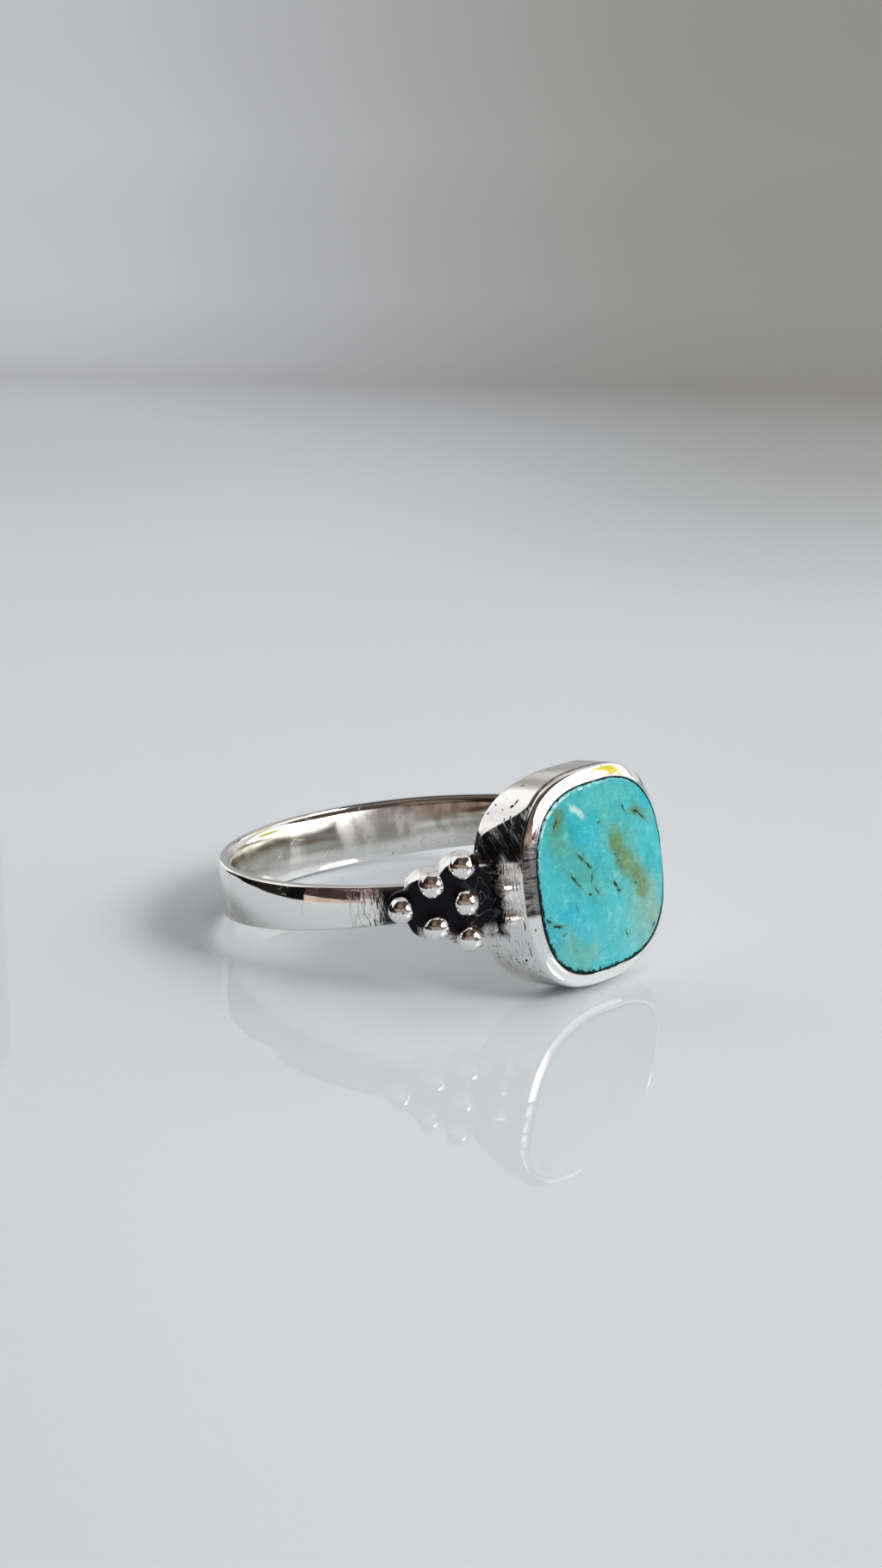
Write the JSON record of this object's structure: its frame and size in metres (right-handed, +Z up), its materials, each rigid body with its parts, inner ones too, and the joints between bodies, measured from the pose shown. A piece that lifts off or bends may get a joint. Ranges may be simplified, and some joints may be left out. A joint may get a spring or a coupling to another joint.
{
  "type": "turquoise ring",
  "caption": "Silver finger ring with a cushion turquoise cabochon in a rubbed-over bezel and scalloped shoulders set with granules, lying on its side.",
  "frame": {"origin": "middle of the box's base, on the surface that the ring lies on", "axes": "+Z up; the stone faces -Y and a little upwards; X runs across the ring, which is alike on both sides of X = 0"},
  "size_m": [0.0189, 0.0212, 0.0098],
  "materials": {
    "silver": "polished",
    "turquoise": "gloss"
  },
  "bodies": {
    "root": {"silver_mount": "silver", "turquoise_stone": "turquoise"}
  },
  "joints": []
}
